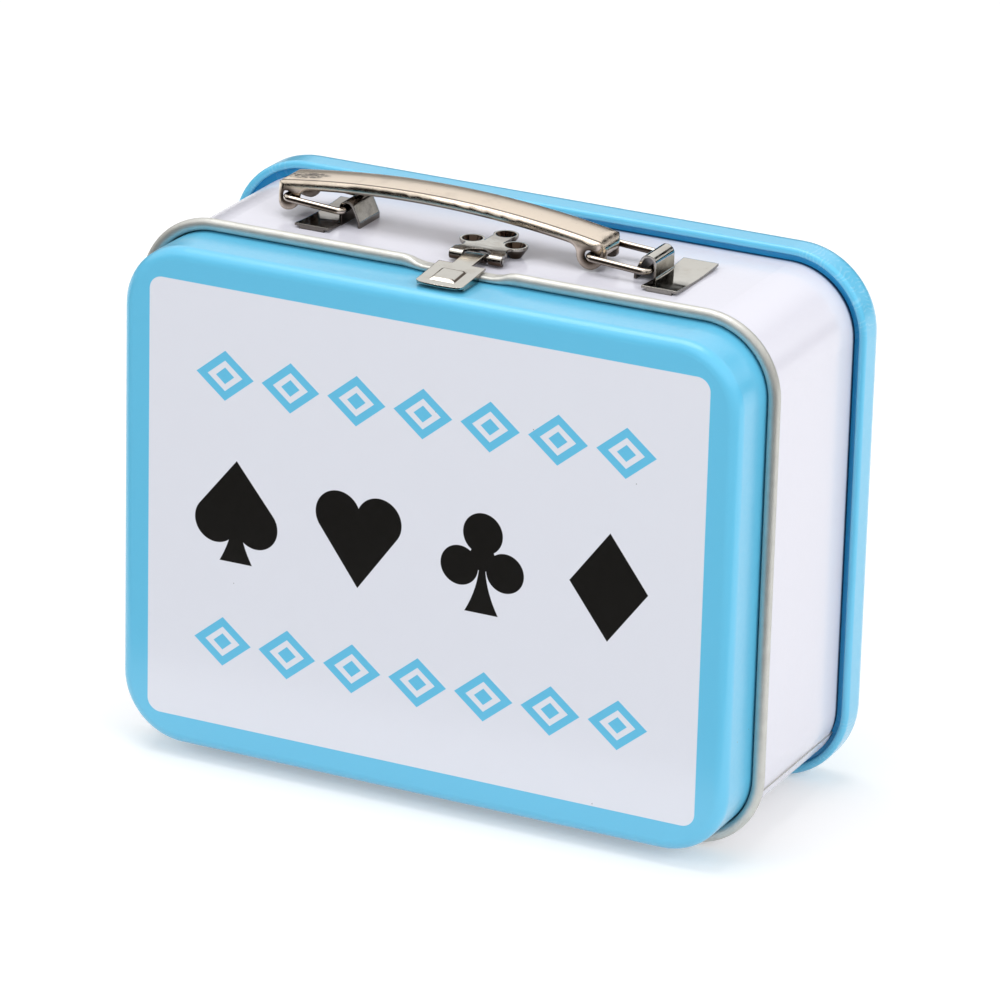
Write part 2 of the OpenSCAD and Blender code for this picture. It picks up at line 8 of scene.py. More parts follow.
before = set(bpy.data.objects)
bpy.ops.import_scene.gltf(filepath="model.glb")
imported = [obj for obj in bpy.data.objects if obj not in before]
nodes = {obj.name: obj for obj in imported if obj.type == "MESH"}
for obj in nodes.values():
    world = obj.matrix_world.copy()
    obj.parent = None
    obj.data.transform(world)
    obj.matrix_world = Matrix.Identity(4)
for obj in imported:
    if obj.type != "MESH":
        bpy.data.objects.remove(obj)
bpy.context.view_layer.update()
scene = bpy.context.scene

# Colours, as linear values
WHITE = (0.778, 0.796, 0.872)
BAND_WHITE = (0.775, 0.768, 0.848)
BLUE = (0.126, 0.552, 0.822)
# Painted highlight for the crests of the cover's drawing creases
PAINTED_CREASE_HIGHLIGHT = (0.35, 0.70, 0.90)
# Painted shade: a blue for the band's flange where it shows in the rear gap
PAINTED_FLANGE_SHADE = (0.035, 0.420, 0.850)
# Painted shade on the band just before the rear gap
PAINTED_GAP_SHADE = (0.012, 0.020, 0.050)
BLACK = (0.010, 0.009, 0.008)
DUST = (0.2, 0.2, 0.21)
TINPLATE = (0.660, 0.655, 0.615)
HANDLE_NICKEL = (0.810, 0.700, 0.580)
NICKEL = (0.600, 0.580, 0.530)
WARM_NICKEL = (0.660, 0.590, 0.510)
DARKER_NICKEL = (0.330, 0.315, 0.290)
TARNISH = (0.420, 0.350, 0.280)
# Colour of painted shade and of painted dark reflections on the metal
PAINTED_DARK = (0.060, 0.042, 0.030)
BROWN = (0.050, 0.030, 0.018)
STEEL = (0.560, 0.550, 0.530)
CLOTH = (0.008, 0.007, 0.006)
FLOOR_WHITE = (0.8, 0.8, 0.8)

# Places on the tin at rest, in millimetres, with tilts in degrees. Y runs from the lid to the
# back, halves are measured from the middle of a piece, and DARK_REFLECTION_FACING is a direction.
BAND_MIDDLE_Z = 59.3
BAND_TOP_Z = 115.95
BEAD_END_Y = -17.5
FLANGE_Y = 24.82
FLANGE_FACE_Y = FLANGE_Y - 0.05
# Where the painted shade on the band before the rear gap starts, and where it is full
REAR_GAP_Y = (FLANGE_Y - 1.6, FLANGE_Y - 0.7)
LID_MIDDLE_Y = -22.0
LID_BARE_Y = -17.0
COVER_MIDDLE_Y = 20.0
COVER_BARE_Y = 25.6
COVER_EDGE_Y = (28.5, 31.0)
CORNER_MIDDLE = (57.2, 41.8)
HANDLE_MIDDLE = (-12.17, 1.5, 119.95)
HANDLE_TILT = 1.05
HANDLE_RISE = 6.1
HANDLE_ARCH_R = 230.0
HANDLE_CREASE_Y = 4.1
HANDLE_SIDE_H = 1.9
HANDLE_HEM = (HANDLE_SIDE_H - 0.55, HANDLE_SIDE_H - 0.2)
HANDLE_PIVOT_X = 35.5
HANDLE_EAR_X = (HANDLE_PIVOT_X - 6.0, HANDLE_PIVOT_X - 3.0)
# Radii of the painted shade round each pivot: full inside, gone outside
PIVOT_SHADE_R = (1.35, 2.9)
PIT_MIDDLE = (-32.5, -1.6)
PIT_HALF = (6.0, 2.0)
LINK_MIDDLES = ((-40.877, 1.5, 120.125), (30.111, 1.5, 118.824))
LINK_TILT = 4.0
LINK_HALF = (6.8, 6.3)
LINK_BEND = 1.4
# Painted reflection: a dark line is put on the wires where they face this way
DARK_REFLECTION_FACING = (0.0, -0.978, 0.208)
DISHES = ((-4.0, -3.1), (6.0, -3.1), (1.0, 2.7))
DISH_R = 2.3
DISH_EDGE = 0.2
# Heights over which the painted shade on the latch base fades out above the band
BASE_SHADE_Z = (BAND_TOP_Z + 0.9, BAND_TOP_Z + 2.5)
PAD_MIDDLE = (1.0, -24.3)
PAD_HALF = (2.7, 2.4)

# The lid's print, in millimetres
PANEL_HALF = (64.65, 49.3)
PANEL_CORNER = 3.0
INK_EDGE = 0.06
SUIT_SIZE = 11.5
SUIT_PITCH = 29.0
CHAIN_PITCH = 15.5
CHAIN_LINKS = 7
CHAIN_STROKE = 1.7
CHAIN_DROP = 30.0
CHAIN_HALF = 0.5 * CHAIN_LINKS * CHAIN_PITCH + 0.5

# Finishes: roughness from low to high, shares of 1, scales per millimetre, lengths in millimetres
NOISE_SPAN = (0.3, 0.7)
TIN_ROUGHNESS = (0.42, 0.54)
BAND_ROUGHNESS = (0.16, 0.24)
LID_ROUGHNESS = (0.3, 0.38)
COVER_ROUGHNESS = (0.28, 0.36)
ENAMEL_COAT = 0.6
COAT_ROUGHNESS = 0.2
ENAMEL_GRAIN = 0.012
METAL_GRAIN = 0.003
METAL_SHARE = 0.72
PEEL_SCALE = 0.9
# Reach of the painted shade in the metal's hollows
PAINTED_SHADE_REACH = 8.0
# Share of the painted dark reflection along the wires
DARK_REFLECTION_SHARE = 0.93

# Creases at the corners: the arc that they cross and how far they stray on it, radians of a wave
# per millimetre, and the width over which they set in
CREASE_ARC = 16.0
CREASE_WANDER = 3.0
CREASE_WAVES = 7.0
CREASE_REACH = 4.0

# Sockets of a Mix node: it has a pair of inputs and an output for each kind of value
MIX_NUMBERS, MIX_NUMBER_OUT = (2, 3), 0
MIX_COLOURS, MIX_COLOUR_OUT = (6, 7), 2


def darker(colour, share):
    return tuple(c * share for c in colour)


class Shader:
    """A material's node tree, with its maths written as short calls. Lengths are in millimetres."""

    def __init__(self, name, colour, roughness, metallic=0.0, coat=0.0):
        self.material = bpy.data.materials.new(name)
        self.material.use_nodes = True
        self.tree = self.material.node_tree
        self.bsdf = self.tree.nodes["Principled BSDF"]
        self.set("Base Color", (*colour, 1.0))
        self.set("Roughness", roughness)
        self.set("Metallic", metallic)
        self.set("Coat Weight", coat)
        self.set("Coat Roughness", COAT_ROUGHNESS)
        coord = self.add("TexCoord")
        scale = self.add("VectorMath", operation="SCALE")
        scale.inputs["Scale"].default_value = 1000.0
        self.feed(scale.inputs[0], coord.outputs["Object"])
        self.place = scale.outputs[0]
        self.normal = coord.outputs["Normal"]
        split = self.add("SeparateXYZ")
        self.feed(split.inputs[0], self.place)
        self.x, self.y, self.z = split.outputs

    def add(self, kind, **settings):
        """A new node of a kind, with its settings"""
        node = self.tree.nodes.new("ShaderNode" + kind)
        for name, value in settings.items():
            setattr(node, name, value)
        return node

    def feed(self, socket, value):
        """Link value to socket if it is a socket too, or else put it there, unless it is None"""
        if isinstance(value, bpy.types.NodeSocket):
            self.tree.links.new(value, socket)
        elif value is not None:
            socket.default_value = value

    def set(self, name, value):
        self.feed(self.bsdf.inputs[name], value)

    def math(self, operation, a, b=None, c=None, clamp=False):
        node = self.add("Math", operation=operation, use_clamp=clamp)
        for socket, value in zip(node.inputs, (a, b, c)):
            self.feed(socket, value)
        return node.outputs[0]

    def vector(self, operation, a, b=None):
        node = self.add("VectorMath", operation=operation)
        for socket, value in zip(node.inputs, (a, b)):
            self.feed(socket, value)
        return node.outputs["Value" if operation == "DOT_PRODUCT" else "Vector"]

    def length(self, a, b):
        """Length of the vector a, b"""
        return self.math("SQRT", self.math("MULTIPLY_ADD", a, a, self.math("MULTIPLY", b, b)))

    def beyond(self, value, middle, half):
        """How far value is past half on either side of middle, negative between them"""
        apart = self.math("ABSOLUTE", self.math("SUBTRACT", value, middle))
        return self.math("SUBTRACT", apart, half)

    def tilted(self, middle, degrees):
        """(along, up) of the place from middle, in axes that are tilted about Y"""
        c, t = math.cos(math.radians(degrees)), math.sin(math.radians(degrees))
        dx = self.math("SUBTRACT", self.x, middle[0])
        dz = self.math("SUBTRACT", self.z, middle[2])
        along = self.math("SUBTRACT", self.math("MULTIPLY", dx, c), self.math("MULTIPLY", dz, t))
        return along, self.math("MULTIPLY_ADD", dx, t, self.math("MULTIPLY", dz, c))

    def ramp(self, value, low, high, to_low=0.0, to_high=1.0):
        """value from low..high mapped smoothly to to_low..to_high"""
        node = self.add("MapRange", interpolation_type="SMOOTHSTEP")
        self.feed(node.inputs["Value"], value)
        ends = {"From Min": low, "From Max": high, "To Min": to_low, "To Max": to_high}
        for name, number in ends.items():
            self.feed(node.inputs[name], number)
        return node.outputs["Result"]

    def fade(self, value, low, high):
        """1 below low and 0 above high"""
        return self.ramp(value, low, high, 1.0, 0.0)

    def noise(self, scale, detail=2.0, stretch=(1.0, 1.0, 1.0), rough=0.5):
        node = self.add("TexNoise")
        self.feed(node.inputs["Scale"], scale)
        self.feed(node.inputs["Detail"], detail)
        self.feed(node.inputs["Roughness"], rough)
        self.feed(node.inputs["Vector"], self.vector("MULTIPLY", self.place, stretch))
        return node.outputs["Fac"]

    def cells(self, scale):
        """(distance to the middle of the nearest cell, random number of the cell)"""
        node = self.add("TexVoronoi")
        self.feed(node.inputs["Scale"], scale)
        self.feed(node.inputs["Vector"], self.place)
        split = self.add("SeparateColor")
        self.feed(split.inputs[0], node.outputs["Color"])
        return node.outputs["Distance"], split.outputs[0]

    def mix(self, mask, a, b):
        """Colour a where mask is 0 and b where it is 1"""
        node = self.add("Mix", data_type="RGBA")
        self.feed(node.inputs[0], mask)
        for place, value in zip(MIX_COLOURS, (a, b)):
            self.feed(node.inputs[place], (*value, 1.0) if isinstance(value, tuple) else value)
        return node.outputs[MIX_COLOUR_OUT]

    def blend(self, mask, a, b):
        """Number a where mask is 0 and b where it is 1"""
        node = self.add("Mix")
        self.feed(node.inputs[0], mask)
        for place, value in zip(MIX_NUMBERS, (a, b)):
            self.feed(node.inputs[place], value)
        return node.outputs[MIX_NUMBER_OUT]

    def recess(self, reach):
        """1 in the open and towards 0 in corners and hollows that are closer than reach"""
        node = self.add("AmbientOcclusion", samples=8)
        node.inputs["Distance"].default_value = reach / 1000.0
        return node.outputs["AO"]

    def rounded(self, radius):
        """Normal of the surface with its sharp edges rounded off"""
        node = self.add("Bevel", samples=6)
        node.inputs["Radius"].default_value = radius / 1000.0
        return node.outputs[0]

    def bump(self, height, depth, normal=None):
        """Grain on the surface: a height of 1 stands depth proud"""
        node = self.add("Bump")
        self.feed(node.inputs["Normal"], normal)
        self.feed(node.inputs["Strength"], 1.0)
        self.feed(node.inputs["Distance"], depth / 1000.0)
        self.feed(node.inputs["Height"], height)
        self.set("Normal", node.outputs[0])

    def specks(self, scale, share, radius):
        """Mask of small round spots, one in a share of the cells"""
        distance, chance = self.cells(scale)
        near = self.fade(distance, radius * 0.6, radius)
        return self.math("MULTIPLY", near, self.math("LESS_THAN", chance, share))

    def inside(self, centre, weights=(1.0, 1.0, 1.0)):
        """Mask of the faces that look towards centre, which are the inside of a tray"""
        out = self.vector("SUBTRACT", self.place, centre)
        facing = self.vector("DOT_PRODUCT", self.vector("MULTIPLY", out, weights), self.normal)
        return self.math("LESS_THAN", facing, 0.0)


class Drawing:
    """Flat shapes on the lid's face as distances in millimetres, negative inside.

    The shapes are symmetric, so they are drawn on one side of their middle line.
    """

    def __init__(self, s):
        self.s = s

    def at(self, x, z):
        """The same drawing with its origin at x, z"""
        self.w = self.s.math("SUBTRACT", self.s.z, z)
        self.side = self.s.math("ABSOLUTE", self.s.math("SUBTRACT", self.s.x, x))
        return self

    def rows(self, pitch, drop):
        """The same drawing in two rows, drop above and below its origin, with a shape each pitch"""
        self.w = self.s.math("SUBTRACT", self.s.math("ABSOLUTE", self.w), drop)
        self.side = self.s.math("PINGPONG", self.s.x, 0.5 * pitch)
        return self

    def disc(self, u, w, radius):
        """Disc at u to both sides of the middle line"""
        du = self.s.math("SUBTRACT", self.side, u)
        dw = self.s.math("SUBTRACT", self.w, w)
        return self.s.math("SUBTRACT", self.s.length(du, dw), radius)

    def below(self, w):
        return self.s.math("SUBTRACT", self.w, w)

    def above(self, w):
        return self.s.math("SUBTRACT", w, self.w)

    def wedge(self, half, w, lean):
        """Between two lines half apart at height w, which lean degrees from upright"""
        c, t = math.cos(math.radians(lean)), math.sin(math.radians(lean))
        out = self.s.math("MULTIPLY", self.s.math("SUBTRACT", self.side, half), c)
        return self.s.math("MULTIPLY_ADD", self.s.math("SUBTRACT", self.w, w), t, out)

    def both(self, *parts):
        value = parts[0]
        for part in parts[1:]:
            value = self.s.math("MAXIMUM", value, part)
        return value

    def any(self, *parts):
        value = parts[0]
        for part in parts[1:]:
            value = self.s.math("MINIMUM", value, part)
        return value

    def drop(self, u, w, radius, tip):
        """Pair of lobes at u to both sides, and the straight flanks that run from them to a tip"""
        up = 1.0 if tip > w else -1.0
        reach = math.hypot(u, tip - w)
        lean = math.atan2(u, abs(tip - w)) + math.asin(radius / reach)
        touch = tip - up * math.sqrt(reach ** 2 - radius ** 2) * math.cos(lean)
        flanks = self.wedge(0.0, tip, up * math.degrees(lean))
        base = self.above(touch) if up > 0 else self.below(touch)
        middle = self.disc(0.0, w + up * 0.25 * radius, 0.55 * radius)
        return self.any(self.disc(u, w, radius), self.both(flanks, base), middle)

    def stem(self, r):
        """Foot that flares towards its base, on a suit of half height r"""
        flare = self.s.math("MULTIPLY", self.s.math("MULTIPLY", self.w, self.w), 0.28 / r)
        edge = self.s.math("SUBTRACT", self.s.math("SUBTRACT", self.side, flare), 0.06 * r)
        return self.both(edge, self.above(-r), self.below(0.0))

    def spade(self, r):
        return self.any(self.drop(0.42 * r, -0.22 * r, 0.44 * r, r), self.stem(r))

    def heart(self, r):
        return self.drop(0.42 * r, 0.36 * r, 0.46 * r, -r)

    def club(self, r):
        side_leaves = self.disc(0.46 * r, -0.14 * r, 0.38 * r)
        leaves = self.any(side_leaves, self.disc(0.0, 0.54 * r, 0.40 * r))
        return self.any(leaves, self.disc(0.0, 0.08 * r, 0.26 * r), self.stem(r))

    def diamond(self, r):
        return self.lozenge(0.78 * r, 1.04 * r)

    def lozenge(self, half_w, half_h):
        """Lozenge, with its slant distance from the edge"""
        share = self.s.math("ADD", self.s.math("DIVIDE", self.side, half_w),
                            self.s.math("DIVIDE", self.s.math("ABSOLUTE", self.w), half_h))
        return self.s.math("MULTIPLY", self.s.math("SUBTRACT", share, 1.0),
                           half_w * half_h / math.hypot(half_w, half_h))

    def filled(self, distance):
        """Mask of the inside of a shape, with an edge as soft as ink's"""
        return self.s.fade(distance, -INK_EDGE, INK_EDGE)


def lid_print(s):
    """Colour of the lid: a white panel on blue, with plain card suits between two chains"""
    away_x = s.beyond(s.x, 0.0, PANEL_HALF[0] - PANEL_CORNER)
    away_z = s.beyond(s.z, BAND_MIDDLE_Z, PANEL_HALF[1] - PANEL_CORNER)
    corner = s.length(s.math("MAXIMUM", away_z, 0.0), s.math("MAXIMUM", away_x, 0.0))
    past = s.math("MAXIMUM", corner, s.math("MAXIMUM", away_x, away_z))
    d = Drawing(s)
    panel = d.filled(s.math("SUBTRACT", past, PANEL_CORNER))
    suits = []
    for i, suit in enumerate((d.spade, d.heart, d.club, d.diamond)):
        d.at((i - 1.5) * SUIT_PITCH, BAND_MIDDLE_Z)
        suits.append(suit(SUIT_SIZE))
    d.at(0.0, BAND_MIDDLE_Z).rows(CHAIN_PITCH, CHAIN_DROP)
    link = d.lozenge(0.44 * CHAIN_PITCH, 0.36 * CHAIN_PITCH)
    ring = d.both(link, s.math("SUBTRACT", -CHAIN_STROKE, link))
    jewel = d.lozenge(0.14 * CHAIN_PITCH, 0.12 * CHAIN_PITCH)
    chain = d.both(d.any(ring, jewel), s.beyond(s.x, 0.0, CHAIN_HALF))
    colour = s.mix(panel, BLUE, WHITE)
    colour = s.mix(d.filled(chain), colour, BLUE)
    return s.mix(d.filled(d.any(*suits)), colour, BLACK)


def tinplate(s):
    """(colour, roughness, grain) of bare tinplate"""
    cloud = s.noise(0.35, 3.0)
    fine = s.noise(3.0, 2.0, (1.0, 0.4, 1.0))
    colour = s.mix(s.ramp(cloud, *NOISE_SPAN), darker(TINPLATE, 0.92), TINPLATE)
    return colour, s.ramp(fine, *NOISE_SPAN, *TIN_ROUGHNESS), fine


def creases(s):
    """Fine lines that deep drawing leaves across the corners of a tray, 0 elsewhere"""
    du = s.beyond(s.x, 0.0, CORNER_MIDDLE[0])
    dw = s.beyond(s.z, BAND_MIDDLE_Z, CORNER_MIDDLE[1])
    place = s.math("MULTIPLY", s.math("ARCTAN2", dw, du), CREASE_ARC)
    wander = s.math("MULTIPLY", s.noise(0.25, 1.0), CREASE_WANDER)
    wave = s.math("SINE", s.math("MULTIPLY", s.math("ADD", place, wander), CREASE_WAVES))
    near = s.math("MULTIPLY", s.ramp(du, 0.0, CREASE_REACH), s.ramp(dw, 0.0, CREASE_REACH))
    patches = s.ramp(s.noise(0.5, 1.0), 0.4, 0.6)
    return s.math("MULTIPLY", s.math("MULTIPLY", wave, near), patches)


def enamelled(s, bare, paint, roughness, peel_share, lines=None):
    """Sheet with paint and its orange peel, and tinplate where bare is 1. Returns the colour."""
    tin, tin_roughness, tin_grain = tinplate(s)
    peel = s.noise(PEEL_SCALE)
    grain = s.math("MULTIPLY", peel, peel_share)
    if lines is not None:
        grain = s.math("ADD", grain, lines)
    colour = s.mix(bare, paint, tin)
    s.set("Base Color", colour)
    s.set("Metallic", bare)
    s.set("Roughness", s.blend(bare, s.ramp(peel, *NOISE_SPAN, *roughness), tin_roughness))
    s.bump(s.blend(bare, grain, tin_grain), ENAMEL_GRAIN)
    return colour


def enamel_band():
    """White outside, tinplate inside and on the bead, and painted shade in the rear gap"""
    s = Shader("white_enamel", BAND_WHITE, 0.2)
    bead = s.math("LESS_THAN", s.y, BEAD_END_Y)
    bare = s.math("MAXIMUM", bead, s.inside((0, 0, BAND_MIDDLE_Z), (1, 0, 1)))
    dust = s.specks(0.11, 0.35, 0.018)
    white = s.mix(dust, BAND_WHITE, darker(BAND_WHITE, 0.45))
    colour = enamelled(s, bare, white, BAND_ROUGHNESS, 0.5)
    # Painted shade: the band turns navy just before the rear gap, under the cover's curl
    gap = s.math("MULTIPLY", s.ramp(s.y, *REAR_GAP_Y), s.math("SUBTRACT", 1.0, bare))
    # Painted shade: the flange's face in the gap is blue instead of white
    flange = s.math("GREATER_THAN", s.y, FLANGE_FACE_Y)
    s.set("Base Color", s.mix(flange, s.mix(gap, colour, PAINTED_GAP_SHADE), PAINTED_FLANGE_SHADE))
    metal = s.math("SUBTRACT", s.math("SUBTRACT", bare, gap, clamp=True), flange, clamp=True)
    s.set("Metallic", s.math("MULTIPLY", metal, METAL_SHARE))
    return s.material


def enamel_lid():
    s = Shader("printed_enamel", BLUE, 0.3, coat=ENAMEL_COAT)
    front = s.math("LESS_THAN", s.y, LID_BARE_Y)
    bare = s.math("MULTIPLY", s.inside((0, LID_MIDDLE_Y, BAND_MIDDLE_Z)), front)
    paint = s.mix(s.specks(0.13, 0.4, 0.02), lid_print(s), DUST)
    lines = s.math("MULTIPLY", creases(s), 0.3)
    enamelled(s, bare, paint, LID_ROUGHNESS, 0.6, lines)
    return s.material


def enamel_cover():
    s = Shader("blue_enamel", BLUE, 0.3, coat=ENAMEL_COAT)
    rear = s.math("GREATER_THAN", s.y, COVER_BARE_Y)
    bare = s.math("MULTIPLY", s.inside((0, COVER_MIDDLE_Y, BAND_MIDDLE_Z)), rear)
    lines = s.math("MULTIPLY", creases(s), s.fade(s.y, *COVER_EDGE_Y))
    # Painted highlight: the crease lines are lighter blue on their crests
    blue = s.mix(s.math("MULTIPLY", lines, 0.4, clamp=True), BLUE, PAINTED_CREASE_HIGHLIGHT)
    paint = s.mix(s.specks(0.12, 0.35, 0.018), blue, darker(BLUE, 0.5))
    enamelled(s, bare, paint, COVER_ROUGHNESS, 0.6, lines)
    return s.material


# The three marks functions give (mask of a darkening, its colour, mask of more pits or None)


def handle_marks(s):
    """Painted shade in dark lines along the handle's edges and rings round its pivots; a patch of
    pits
    """
    along, up = s.tilted(HANDLE_MIDDLE, HANDLE_TILT)
    off = s.math("SUBTRACT", s.y, HANDLE_MIDDLE[1])
    reach = s.math("ABSOLUTE", along)
    square = s.math("SUBTRACT", HANDLE_ARCH_R ** 2, s.math("MULTIPLY", along, along))
    crown = s.math("ADD", s.math("SQRT", square), HANDLE_RISE - HANDLE_ARCH_R)
    depth = s.math("SUBTRACT", crown, up)
    # Painted shade: dark lines along the handle's lower hem and at the crease of its rolled edge
    hem = s.math("MULTIPLY", s.ramp(depth, *HANDLE_HEM), s.fade(reach, *HANDLE_EAR_X))
    from_crease = s.math("ABSOLUTE", s.beyond(off, 0.0, HANDLE_CREASE_Y))
    crease = s.math("MULTIPLY", s.fade(from_crease, 0.1, 0.3), s.fade(depth, 0.0, 0.5))
    from_pivot = s.length(s.math("SUBTRACT", reach, HANDLE_PIVOT_X), up)
    # Painted shade in a ring round each pivot's dimple
    ring = s.ramp(from_pivot, *PIVOT_SHADE_R, 0.97, 0.0)
    lines = s.math("MULTIPLY", s.math("MAXIMUM", hem, crease), 0.8)
    ex, ey = (s.math("DIVIDE", s.math("SUBTRACT", place, middle), half)
              for place, middle, half in zip((along, off), PIT_MIDDLE, PIT_HALF))
    near = s.fade(s.math("MULTIPLY_ADD", ex, ex, s.math("MULTIPLY", ey, ey)), 0.3, 1.0)
    scratch = s.ramp(s.noise(1.6, 3.0, (0.5, 1.4, 1.0), 0.7), 0.44, 0.5)
    return s.math("MAXIMUM", lines, ring), PAINTED_DARK, s.math("MULTIPLY", near, scratch)


def dish_marks(s):
    """Brown in the three dishes of the latch base, and painted shade towards the band"""
    # Painted shade: the base darkens where it meets the band
    darkening = s.ramp(s.z, *BASE_SHADE_Z, 0.9, 0.0)
    for x, y in DISHES:
        far = s.length(s.math("SUBTRACT", s.x, x), s.math("SUBTRACT", s.y, y))
        darkening = s.math("MAXIMUM", darkening, s.ramp(far, DISH_R - DISH_EDGE, DISH_R, 0.95, 0.0))
    return darkening, BROWN, None


def pad_marks(s):
    """Painted shade in the crease round the flap's pad, most of it on the right"""
    aside = s.beyond(s.x, PAD_MIDDLE[0], PAD_HALF[0])
    beyond = s.beyond(s.y, PAD_MIDDLE[1], PAD_HALF[1])
    line = s.fade(s.math("ABSOLUTE", s.math("MAXIMUM", aside, beyond)), 0.1, 0.35)
    right = s.ramp(s.math("SUBTRACT", s.x, PAD_MIDDLE[0]), 1.0, 2.6, 0.3, 0.95)
    return s.math("MULTIPLY", line, right), BROWN, None


def wire_normal(s, middle):
    """(normal of a link's round wire, bent to a rounded rectangle, mask of the line along it)"""
    c, t = math.cos(math.radians(LINK_TILT)), math.sin(math.radians(LINK_TILT))
    u, w = s.tilted(middle, LINK_TILT)
    out = []
    for place, half in zip((u, s.math("SUBTRACT", s.y, middle[1])), LINK_HALF):
        past = s.math("MAXIMUM", s.beyond(place, 0.0, half - LINK_BEND), 0.0)
        out.append(s.math("MULTIPLY", past, s.math("SIGN", place)))
    share = s.math("SUBTRACT", 1.0, s.math("DIVIDE", LINK_BEND, s.length(*out)))
    nu, nv = (s.math("MULTIPLY", part, share) for part in out)
    join = s.add("CombineXYZ")
    normal = (s.math("MULTIPLY_ADD", nu, c, s.math("MULTIPLY", w, t)), nv,
              s.math("MULTIPLY_ADD", nu, -t, s.math("MULTIPLY", w, c)))
    for socket, value in zip(join.inputs, normal):
        s.feed(socket, value)
    unit = s.vector("NORMALIZE", join.outputs[0])
    turn = s.add("VectorTransform", vector_type="NORMAL", convert_from="OBJECT", convert_to="WORLD")
    s.feed(turn.inputs[0], unit)
    # The mask is a painted dark reflection along the front of the wire
    return turn.outputs[0], s.ramp(s.vector("DOT_PRODUCT", unit, DARK_REFLECTION_FACING), 0.86, 0.97)


def plated(name, colour, shine, satin, marks=None, rounding=0.25, top_satin=None, wire=None):
    """Nickel plate or wire: shiny with rubbed satin patches, pits, and painted shade in the hollows.

    rounding is the radius in millimetres that softens its edges, top_satin the roughness of the
    faces that look up, and wire the middle of a link, which gets its own normal.
    """
    s = Shader(name, colour, shine, metallic=1.0)
    cloud = s.noise(0.22, 3.0)
    rub = s.noise(0.6, 4.0, (0.25, 1.0, 1.0))
    pits = s.specks(1.3, 0.25, 0.09)
    metal = s.mix(s.ramp(cloud, 0.5, 0.75, 0.0, 0.3), colour, TARNISH)
    # Painted shade: the metal darkens in hollows and next to other parts
    metal = s.mix(s.ramp(s.recess(PAINTED_SHADE_REACH), 0.3, 0.85, 0.95, 0.0), metal, PAINTED_DARK)
    if marks:
        # The darkening paints shade, and a brown in the latch base's dishes
        darkening, darkening_colour, patch = marks(s)
        metal = s.mix(darkening, metal, darkening_colour)
        if patch is not None:
            pits = s.math("MAXIMUM", pits, patch)
    if wire:
        normal, line = wire_normal(s, wire)
        # Painted reflection: a dark line along each wire
        metal = s.mix(s.math("MULTIPLY", line, DARK_REFLECTION_SHARE), metal, PAINTED_DARK)
    else:
        normal = s.rounded(rounding)
    s.set("Base Color", s.mix(pits, metal, darker(colour, 0.15)))
    roughness = s.ramp(rub, 0.35, 0.7, shine, satin)
    if top_satin is not None:
        top = s.ramp(s.vector("DOT_PRODUCT", s.normal, (0, 0, 1)), 0.93, 0.985)
        roughness = s.blend(top, roughness, top_satin)
    s.set("Roughness", roughness)
    s.bump(s.math("SUBTRACT", s.math("MULTIPLY", rub, 0.6), pits), METAL_GRAIN, normal)
    return s.material


def dress(material, *names):
    for name in names:
        mesh = nodes[name].data
        mesh.materials.clear()
        mesh.materials.append(material)


dress(enamel_band(), "body_band")
dress(enamel_lid(), "front_lid")
dress(enamel_cover(), "back_cover")
dress(plated("nickel_handle", HANDLE_NICKEL, 0.1, 0.2, handle_marks, rounding=0.9, top_satin=0.3),
      "handle_grip")
dress(plated("left_wire", WARM_NICKEL, 0.04, 0.1, wire=LINK_MIDDLES[0]), "handle_link_left")
dress(plated("right_wire", WARM_NICKEL, 0.04, 0.1, wire=LINK_MIDDLES[1]), "handle_link_right")
# The left bracket gets a darker nickel than the right one, with the same roughness
dress(plated("darker_plate", DARKER_NICKEL, 0.06, 0.14), "handle_bracket_left")
dress(plated("nickel_plate", NICKEL, 0.06, 0.14), "handle_bracket_right")
dress(plated("flap_plate", NICKEL, 0.06, 0.14, pad_marks), "latch_flap")
dress(plated("latch_plate", NICKEL, 0.06, 0.16, dish_marks), "latch_base")
dress(plated("rivet_steel", darker(WARM_NICKEL, 0.5), 0.15, 0.3), "latch_rivets")
dress(plated("steel_wire", STEEL, 0.2, 0.34), "hinge_pin_left", "hinge_pin_right", "latch_pin")

# Studio, in metres

FLOOR_HALF = 3.0
FLOOR_GLOW = 0.3
SKY_LIGHT, SKY_SEEN = 0.5, 1.0
MIDDLE = (0.0, 0.0, 0.06)
RING_R, RING_LOW, RING_SIDES = 1.7, 0.02, 72
# From each angle on, in degrees, how high the ring stands
RING_HEIGHTS = ((0, 0.55), (50, 0.3), (65, 0.95), (90, 0.55),
                (215, 1.2), (270, 0.55), (330, 1.0), (355, 0.55))
FRONT_CARD = ((-1.1, -1.3), (0.9, -0.075))
CARD_Z = 0.001
# The camera as fitted to the photograph: its place and its own axes
CAMERA_PLACE = (0.5486, -1.1297, 0.53505)
RIGHT = Vector((0.89595, 0.44347, 0.02464))
UP = Vector((-0.17773, 0.30712, 0.93491))
BACK = Vector((0.40704, -0.84202, 0.35399))
SENSOR, LENS = 36.0, 227.54


def seen_strength(tree, socket, unseen, seen):
    """A strength that is seen by the camera, a mirror or a glass, and unseen for other light"""
    path = tree.nodes.new("ShaderNodeLightPath")
    rays = ("Is Camera Ray", "Is Glossy Ray", "Is Transmission Ray")
    mask, *others = [path.outputs[name] for name in rays]
    for other in others:
        either = tree.nodes.new("ShaderNodeMath")
        either.operation = "MAXIMUM"
        tree.links.new(mask, either.inputs[0])
        tree.links.new(other, either.inputs[1])
        mask = either.outputs[0]
    level = tree.nodes.new("ShaderNodeMapRange")
    level.inputs["To Min"].default_value = unseen
    level.inputs["To Max"].default_value = seen
    tree.links.new(mask, level.inputs["Value"])
    tree.links.new(level.outputs["Result"], socket)


